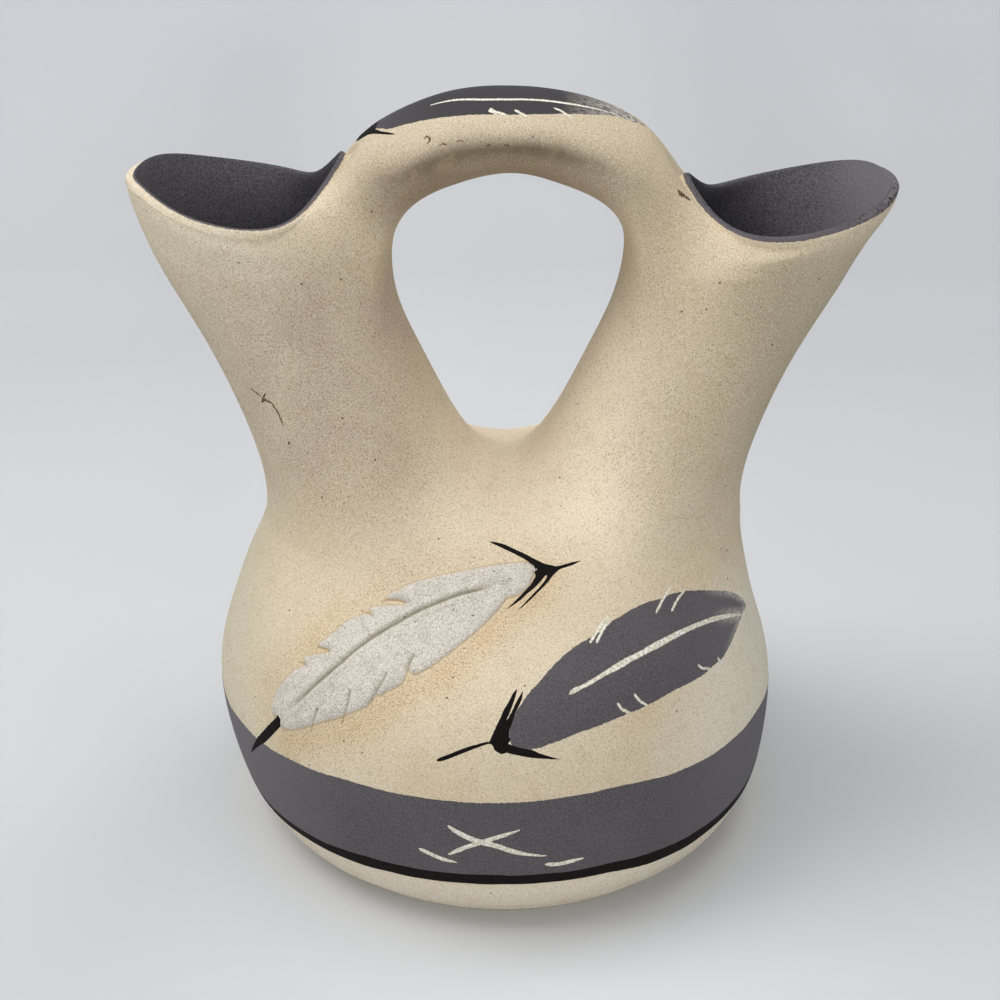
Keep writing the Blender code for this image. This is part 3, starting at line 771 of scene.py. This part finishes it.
def band_between(upper, lower, scratches, rough, drop=0.0, thickness=COAT):
    """Height of a band round the bowl between two edges given at degrees round it."""
    def height(grid):
        wave = np.array([noise.noise((math.cos(x) * 9, math.sin(x) * 9, y * 0.3))
                         for x, y in grid * (math.pi / 180, 1)]) * rough
        depth = np.minimum(np.interp(grid[:, 0], *upper.T) - grid[:, 1],
                           grid[:, 1] + drop - np.interp(grid[:, 0], *lower.T)) + wave
        arc = grid * (ROUND_TO_ARC, 1)
        for half_width, line in scratches:
            depth = np.minimum(depth, -depth_in_stroke(arc, line * (ROUND_TO_ARC, 1), half_width))
        return coat_height(depth, thickness), {"depth": np.clip(depth, -1, 3)}
    return height


# Materials

def colour(red, green, blue):
    """A linear colour from 8-bit display values."""
    return tuple(((value / 255 + 0.055) / 1.055) ** 2.4 for value in (red, green, blue)) + (1.0,)


class Paint:
    """A node tree, built by calls that return its sockets, and the tone laid down in it so far."""

    def __init__(self, tree):
        self.tree = tree
        coordinates = self.add("TexCoord").outputs
        self.place, self.normal = coordinates["Object"], coordinates["Normal"]
        self.tone = None

    def connect(self, socket, value):
        if isinstance(value, bpy.types.NodeSocket):
            self.tree.links.new(value, socket)
        else:
            socket.default_value = value

    def add(self, kind, inputs=None, **settings):
        made = self.tree.nodes.new("ShaderNode" + kind)
        for name, value in settings.items():
            setattr(made, name, value)
        for name, value in (inputs or {}).items():
            self.connect(made.inputs[name], value)
        return made

    def axes(self, vector=None):
        return self.add("SeparateXYZ", {"Vector": self.place if vector is None else vector}).outputs

    def attribute(self, name):
        return self.add("Attribute", attribute_name=name).outputs["Fac"]

    def noise(self, scale, detail=2.0, roughness=0.5, place=None):
        return self.add("TexNoise", {"Vector": self.place if place is None else place, "Scale": scale,
                                     "Detail": detail, "Roughness": roughness}).outputs[0]

    def maths(self, operation, first, second=0.0):
        return self.add("Math", {0: first, 1: second}, operation=operation).outputs[0]

    def times(self, *shares):
        made = shares[0]
        for share in shares[1:]:
            made = self.maths("MULTIPLY", made, share)
        return made

    def ease(self, value, start, end, low=0.0, high=1.0):
        """The value carried smoothly from one range to another."""
        return self.add("MapRange", {"Value": value, "From Min": start, "From Max": end,
                                     "To Min": low, "To Max": high},
                        interpolation_type="SMOOTHSTEP").outputs[0]

    def ragged(self, name, amount, *grain):
        """An attribute made uneven by noise."""
        uneven = self.maths("SUBTRACT", self.noise(*grain), 0.5)
        return self.maths("ADD", self.attribute(name), self.times(uneven, amount))

    def specks(self, scale, radius, share):
        """Dots of a radius in metres in a share of a Voronoi texture's cells."""
        cells = self.add("TexVoronoi", {"Vector": self.place, "Scale": scale})
        parts = self.add("SeparateColor", {"Color": cells.outputs["Color"]})
        dot = self.ease(cells.outputs["Distance"], radius * scale * 1.5, radius * scale * 0.6)
        return self.times(dot, self.maths("LESS_THAN", parts.outputs[0], share))

    def mix(self, share, first, second):
        return self.add("Mix", {0: share, 6: first, 7: second}, data_type="RGBA").outputs[2]

    def ground(self, share, first, second):
        """Begin the tone with two colours."""
        self.tone = self.mix(share, colour(*first), colour(*second))

    def tint(self, share, *shade):
        """Lay a colour over the tone by its share."""
        self.tone = self.mix(share, self.tone, colour(*shade))


class Material(Paint):
    """A matt material whose colour is the tone laid down in it."""

    def __init__(self, name, roughness, shine=0.25):
        self.made = bpy.data.materials.new(name)
        self.made.use_nodes = True
        super().__init__(self.made.node_tree)
        self.shader = self.tree.nodes["Principled BSDF"]
        self.shader.inputs["Roughness"].default_value = roughness
        self.shader.inputs["Specular IOR Level"].default_value = shine

    def clay(self):
        return self.add("Group", node_tree=clay_surface).outputs[0]

    def finish(self, *bumps):
        """Give the shader the tone and the bumps, each a height socket and its depth in metres."""
        self.connect(self.shader.inputs["Base Color"], self.tone)
        target = self.shader
        for height, distance in reversed(bumps):
            bump = self.add("Bump", {"Height": height, "Distance": distance, "Strength": 1.0})
            self.connect(target.inputs["Normal"], bump.outputs["Normal"])
            target = bump
        return self.made


def make_clay_surface():
    """Node group of the bare clay's colour with painted shade and light, shared by every material that
    shows clay.
    """
    group = bpy.data.node_groups.new("clay_surface", "ShaderNodeTree")
    group.interface.new_socket("Colour", in_out="OUTPUT", socket_type="NodeSocketColor")
    out = group.nodes.new("NodeGroupOutput")
    paint = Paint(group)
    ease, times, tint = paint.ease, paint.times, paint.tint
    x, y, z = paint.axes()
    facing = paint.axes(paint.normal)["Z"]
    halo = paint.attribute("halo")
    uneven = ease(paint.noise(90, 3), 0.3, 0.7, 0.7, 1.15)
    paint.ground(ease(paint.noise(28, 3), 0.35, 0.65), (220, 202, 170), (226, 211, 184))
    tint(times(halo, uneven, 0.6), 212, 180, 133)
    tint(ease(x, -0.044, -0.06, 0, 0.4), 208, 206, 184)
    right = times(ease(x, 0.03, 0.05), ease(z, 0.075, 0.055), 0.95)
    tint(right, 238, 228, 208)
    foot = ease(z, 0.016, 0.011)
    tint(foot, 230, 220, 200)
    neck = times(ease(z, 0.07, 0.098), ease(z, 0.15, 0.128, 0.35, 1))
    left = times(neck, uneven, ease(x, 0.004, -0.03, 0.4, 0.9))
    tint(left, 200, 184, 160)
    # Painted shade: the outer side of the right spout is darkened.
    outer = times(ease(x, 0.038, 0.06), ease(z, 0.075, 0.098), ease(z, 0.152, 0.138), 0.68)
    tint(outer, 178, 166, 140)
    # Painted light: the spouts' inner sides and the crotch between them are lightened.
    inner = times(ease(x, 0.038, 0.018), ease(x, -0.026, -0.006), ease(z, 0.07, 0.088),
                  ease(z, 0.138, 0.118), 0.95)
    tint(inner, 250, 234, 206)
    rim = times(ease(x, -0.034, -0.056), ease(z, 0.124, 0.142), 0.35)
    tint(rim, 246, 232, 206)
    arch = ease(z, 0.14, 0.153)
    tint(times(arch, ease(paint.maths("ABSOLUTE", x), 0.036, 0.02), 0.75), 196, 182, 158)
    # Painted shade with some real dirt: the handle's underside darkens, most where its surface faces down.
    under = times(arch, ease(facing, 0.92, 0.3), ease(x, 0.032, 0.008), ease(x, -0.04, -0.01),
                  ease(uneven, 0.7, 1.15, 0.88, 1.1))
    dust_and_shade = paint.mix(ease(facing, 0.4, -0.35), colour(84, 71, 54), colour(148, 132, 110))
    paint.tone = paint.mix(under, paint.tone, dust_and_shade)
    scuffed = times(ease(x, 0.0785, 0.0805), ease(z, 0.144, 0.147),
                    ease(paint.maths("ABSOLUTE", y), 0.007, 0.004),
                    ease(paint.noise(700, 3, 0.6), 0.46, 0.6))
    tint(scuffed, 118, 116, 84)
    tint(ease(paint.noise(210, 3, 0.6), 0.5, 0.75, 0, 0.22), 196, 172, 134)
    grain = paint.noise(3600, 2, 0.6)
    # The left neck's grime and the handle's darkened underside, which is partly painted shade.
    dirt_and_shade = paint.maths("MAXIMUM", times(left, 0.6), under)
    stipple = paint.maths("MAXIMUM", times(dirt_and_shade, 0.45), times(halo, 0.3))
    tint(times(ease(grain, 0.48, 0.7), paint.maths("ADD", stipple, 0.5)), 132, 109, 80)
    pale = times(ease(grain, 0.47, 0.28, 0, 0.52), ease(under, 0.1, 0.9, 1, 0.3))
    tint(pale, 244, 234, 214)
    tint(paint.specks(850, 0.0001, 0.45), 112, 90, 66)
    tint(paint.specks(250, 0.0002, 0.6), 60, 44, 32)
    paint.connect(out.inputs[0], paint.tone)
    return group


def make_clay():
    """Bare clay outside and dark slip inside, parted by the lining's share."""
    paint = Material("bisque_clay", 0.9)
    ease, times = paint.ease, paint.times
    x = paint.axes()["X"]
    reach = paint.ragged("lining", 0.1, 1100, 3, 0.6)
    paint.ground(ease(paint.noise(3000, 2, 0.6), 0.3, 0.7), (60, 58, 61), (104, 101, 104))
    right_tip = ease(x, 0.066, 0.08)
    paint.tint(times(right_tip, 0.4), 134, 130, 132)
    right_crest = times(ease(reach, 0.9, 0.7), ease(x, 0.05, 0.062))
    crest = paint.maths("MAXIMUM", ease(reach, 0.72, 0.6), right_crest)
    paint.tint(times(crest, 0.7), 106, 98, 102)
    scuffs = times(ease(paint.noise(1100, 4, 0.7), 0.52, 0.6), right_tip, ease(reach, 0.97, 0.88))
    paint.tint(scuffs, 44, 41, 44)
    paint.tint(paint.specks(300, 0.00014, 0.3), 130, 124, 116)
    paint.tone = paint.mix(ease(reach, 0.53, 0.57), paint.clay(), paint.tone)
    return paint.finish((paint.noise(130, 3), 0.0001), (paint.noise(1500, 3, 0.6), 0.00005))


def make_grey():
    """Grey slip, paler round the pot's sides, darker on the handle, and worn in streaks."""
    paint = Material("grey_slip_coat", 0.8)
    ease, tint = paint.ease, paint.tint
    x, y, z = paint.axes()
    paint.ground(ease(paint.noise(3200, 2, 0.6), 0.3, 0.7), (74, 71, 75), (104, 100, 103))
    tint(ease(paint.noise(70, 3), 0.45, 0.75, 0, 0.35), 104, 98, 97)
    tint(ease(paint.maths("ABSOLUTE", x), 0.03, 0.06, 0, 0.6), 120, 117, 120)
    tint(ease(z, 0.157, 0.17, 0, 0.95), 58, 56, 57)
    tint(paint.specks(420, 0.00009, 0.35), 140, 132, 122)
    tint(paint.specks(300, 0.0001, 0.35), 48, 44, 46)
    brushed = paint.add("VectorMath", {0: paint.place, 1: (0.22, 1.0, 1.0)}, operation="MULTIPLY")
    streaks = ease(paint.noise(2400, 3, 0.6, brushed.outputs[0]), 0.38, 0.58)
    tint(paint.times(paint.attribute("worn"), streaks), 204, 196, 184)
    rim = paint.ragged("depth", 0.5, 1500, 2)
    paint.tone = paint.mix(ease(rim, 0.1, 0.0), paint.tone, paint.clay())
    return paint.finish((paint.noise(130, 3), 0.0001), (paint.noise(1500, 3, 0.6), 0.00004))


def make_black():
    paint = Material("black_slip_stroke", 0.75, shine=0.12)
    paint.ground(paint.ease(paint.noise(1500, 2, 0.6), 0.35, 0.75), (12, 8, 9), (28, 21, 19))
    return paint.finish((paint.noise(1300, 3, 0.6), 0.00004))


def make_plain(name, first, second, scale):
    """A matt material of two tones in fine grain."""
    paint = Material(name, 0.9)
    paint.ground(paint.ease(paint.noise(scale, 2, 0.6), 0.4, 0.62), first, second)
    return paint.finish()


def make_white():
    """The raised feather's clay, with painted shade in its grooves and bare clay round its edge."""
    paint = Material("white_relief_clay", 0.95)
    ease, tint = paint.ease, paint.tint
    depth, groove = paint.attribute("depth"), paint.attribute("groove")
    paint.ground(ease(paint.noise(260, 4, 0.6), 0.42, 0.7, 0, 0.8), (219, 211, 200), (200, 194, 182))
    grain = paint.noise(3000, 3, 0.65)
    tint(ease(grain, 0.47, 0.68, 0, 0.85), 150, 144, 128)
    tint(ease(grain, 0.46, 0.3, 0, 0.7), 246, 241, 233)
    # Painted shade: darker in the grooves.
    tint(ease(groove, 0.2, 0.95, 0, 0.7), 146, 139, 112)
    tint(paint.specks(420, 0.0002, 0.55), 88, 80, 66)
    edge = paint.times(ease(depth, -0.45, -0.1), ease(depth, 0.35, 0.05), 0.5)
    bare = paint.mix(edge, paint.clay(), colour(178, 146, 100))
    # Painted shade where the grooves run out onto the bare clay.
    bare = paint.mix(ease(groove, 0.25, 0.8, 0, 0.6), bare, colour(164, 134, 94))
    paint.tone = paint.mix(ease(depth, 0.2, -0.05), paint.tone, bare)
    return paint.finish((paint.noise(330, 4, 0.6), 0.0002), (grain, 0.00008))


# Relief of the raised feather in millimetres
PAD_RISE, PAD_ROUND = 0.75, 1.8
CROWN_RISE, CROWN_REACH = 0.4, 7
GROOVE_DEPTH, SHAFT_GROOVE, BARB_GROOVE = 0.8, 0.45, 0.33
SHAFT_RIDGE_RISE, SHAFT_RIDGE_OUT, SHAFT_RIDGE = 0.22, 1.1, 0.6
SKIRT, SKIRT_RISE = 1.2, 0.03
QUILL_RISE = 0.08
HALO_OUT, HALO_WIDTH = 2.2, 4.6


def halo_of(grid):
    """Share of the warm stain round the raised feather at each place in its frame."""
    depth = depth_in(grid, curved(RAISED_OUTLINE, True, steps=2))
    ring = np.exp(-((depth + HALO_OUT) / HALO_WIDTH) ** 2) * np.clip(-depth / 0.8, 0, 1)
    return ring * np.clip((3 - grid[:, 1]) / 6, 0.6, 1)


clay_surface = make_clay_surface()
clay = make_clay()
grey_slip = make_grey()
black_slip = make_black()
white_clay = make_white()
scratched_clay = make_plain("scratched_clay", (205, 200, 180), (246, 242, 232), 1800)
brown_stain = make_plain("brown_stain", (62, 46, 32), (150, 126, 96), 2400)

skin_mesh = smooth_skin()
skin = Skin(skin_mesh)
part_clay(skin_mesh, skin)

front = np.concatenate([span(-180, -22, 1.2), span(-21.6, 21.6, 0.35), span(22, 178.8, 1.2)])
lay("grey_slip_band", "grey_band", grey_slip, skin, band_place, front, span(11.5, 38.5, 0.4),
    band_between(BAND_TOP, LINE_TOP, BAND_SCRATCHES, 0.25, LINE_OVERLAP), around=True)
lay("black_slip_line", "black_line", black_slip, skin, band_place, front,
    span(10.0, 17.5, 0.3), band_between(LINE_TOP, LINE_BOTTOM, (), 0.2, thickness=COAT + 0.05),
    around=True)


def feather_height(grid):
    """The raised feather: a padded vane with soft edges, a grooved shaft and pressed barbs."""
    depth = depth_in(grid, curved(RAISED_OUTLINE, True)) + roughened(grid, 0.18, 1.1)
    pad = np.sqrt(np.clip(1 - (1 - np.clip(depth / PAD_ROUND, 0, 1)) ** 2, 0, 1))
    height = PAD_RISE * pad + CROWN_RISE * np.clip(depth / CROWN_REACH, 0, 1)
    height += (roughened(grid, 0.16, 0.55) + roughened(grid, 0.12, 1.9)) * pad
    far, share = line_distance(grid, curved(RAISED_SHAFT, False))
    fade = np.clip(share * 8, 0, 1) * np.clip((1 - share) * 9, 0, 1)
    groove = np.exp(-(far / SHAFT_GROOVE) ** 2) * fade
    height += SHAFT_RIDGE_RISE * np.exp(-((far - SHAFT_RIDGE_OUT) / SHAFT_RIDGE) ** 2) * fade
    for barb in RAISED_BARBS:
        far, share = line_distance(grid, curved(barb, False))
        groove = np.maximum(groove, 0.8 * np.exp(-(far / BARB_GROOVE) ** 2))
    height -= GROOVE_DEPTH * groove * np.maximum(pad, 0.15)
    height = np.where(depth < 0, SKIRT_RISE, np.maximum(height, SKIRT_RISE))
    height = np.where(depth < -SKIRT, np.maximum((depth + SKIRT) * 0.5 + SKIRT_RISE, -0.2), height)
    return height, {"depth": np.clip(depth, -2.5, 3), "groove": groove, "halo": halo_of(grid)}


lay("white_raised_feather", "raised_feather", white_clay, skin, frame_place(RAISED_FRAME),
    span(-2.5, 69.5, 0.28), span(-13, 12.5, 0.28), feather_height, base=-0.6, keep_normals=False)
lay_outline("grey_painted_feather", "painted_feather", grey_slip, skin, PAINTED_FRAME,
            PAINTED_OUTLINE,
            [lambda grid: depth_in(grid, curved(PAINTED_SHAFT, True))] + strokes_out(PAINTED_NICKS, 0.24),
            worn=lambda grid, depth: (np.clip((grid[:, 0] - 58) / 10, 0, 1)
                                      * np.clip((1.8 - depth) / 1.4, 0, 1)))
lay_outline("pale_painted_shaft", None, scratched_clay, skin, PAINTED_FRAME, PAINTED_SHAFT,
            thickness=THIN_COAT)
lay_strokes("pale_painted_nicks", scratched_clay, skin, frame_place(PAINTED_FRAME),
            [(0.27, nick) for nick in PAINTED_NICKS])
lay_outline("grey_handle_feather", "handle_feather", grey_slip, skin, CREST_FRAME,
            np.concatenate([CREST_FRONT, CREST_BACK]),
            strokes_out([CREST_SHAFT], 0.38) + strokes_out(CREST_NICKS, 0.28),
            worn=lambda grid, depth: np.clip((grid[:, 0] - 12) / 14, 0, 1))
lay_strokes("pale_crest_scratches", scratched_clay, skin, frame_place(CREST_FRAME),
            [(0.44, CREST_SHAFT)] + [(0.3, nick) for nick in CREST_NICKS])
lay_strokes("pale_band_scratches", scratched_clay, skin, band_place, BAND_SCRATCHES, ROUND_TO_ARC)
for name, origin, strokes in STAINS:
    lay_strokes(name + "_stain", brown_stain, skin, frame_place((origin, *STAIN_WAYS)), strokes)
for name, local, outline, under in (
        ("black_tip_stroke", RAISED_FRAME, TIP_MARK, lambda grid: feather_height(grid)[0]),
        ("black_quill_stroke", RAISED_FRAME, QUILL_MARK,
         lambda grid: np.maximum(feather_height(grid)[0], 0) + QUILL_RISE),
        ("black_base_stroke", PAINTED_FRAME, BASE_MARK, None),
        ("black_handle_stroke", CREST_FRAME, CREST_BLADE, None)):
    lay_outline(name, None, black_slip, skin, local, outline, spacing=0.18, rough=0.05,
                under=under)


# Studio

BEND_RADIUS, BEND_STEPS = 0.06, 8
AIM = Vector((0, 0, 0.08))
CAMERA_TILT = 28.2376


def add_floor():
    """A floor that curves up into a backdrop."""
    profile = [(-1.6, 0), (0.24, 0)]
    for step in range(BEND_STEPS + 1):
        turn = math.radians(38) * step / BEND_STEPS
        profile.append((0.26 + BEND_RADIUS * math.sin(turn), BEND_RADIUS - BEND_RADIUS * math.cos(turn)))
    profile.append((1.7, 1.2))
    shape = bmesh.new()
    add_strips(shape, [[shape.verts.new((x, y, z)) for x in (-2, 2)] for y, z in profile])
    floor = object_of("studio_floor", shape)
    floor.data.shade_smooth()
    paint = Material("pale_floor", 0.9)
    x, y, z = paint.axes()
    # Painted shade: the floor's colour darkens towards the back and towards the sides, as the light falls
    # off.
    paint.ground(paint.ease(y, 0.02, 0.6), (220, 221, 221), (187, 189, 193))
    paint.tint(paint.ease(paint.maths("ABSOLUTE", x), 0.015, 0.1, 0, 0.33), 168, 170, 174)
    paint.tint(paint.ease(paint.noise(6, 2), 0.35, 0.65, 0, 0.3), 206, 208, 210)
    floor.data.materials.append(paint.finish())


def add_softbox(name, place, size, power):
    """A square lamp that faces the middle of the pot."""
    lamp = bpy.data.lights.new(name, "AREA")
    lamp.shape = "SQUARE"
    lamp.size = size
    lamp.energy = power
    made = add_object(name, lamp)
    made.location = place
    made.rotation_euler = (AIM - Vector(place)).to_track_quat("-Z", "Y").to_euler()


add_floor()
add_softbox("top_softbox", (-0.03, 0, 1.1), 0.7, 4.2)
add_softbox("left_softbox", (-0.6, 0, 0.95), 0.6, 4.9)
add_softbox("back_softbox", (0.5, 0.55, 0.95), 0.6, 1.9)
add_softbox("front_fill", (0, -1.2, 0.5), 0.6, 4.2)

world = bpy.data.worlds.new("studio_air")
world.use_nodes = True
air = world.node_tree.nodes["Background"].inputs
air["Color"].default_value = (0.92, 0.95, 1, 1)
air["Strength"].default_value = 0.32
bpy.context.scene.world = world

camera_data = bpy.data.cameras.new("photo_camera")
camera_data.sensor_width = 36
camera_data.lens = 79.2
camera = add_object("photo_camera", camera_data)
camera.location = (-0.0008, -0.44175, 0.31226)
camera.rotation_euler = (math.radians(90 - CAMERA_TILT), 0, 0)
bpy.context.scene.camera = camera
bpy.context.scene.view_settings.view_transform = "Standard"
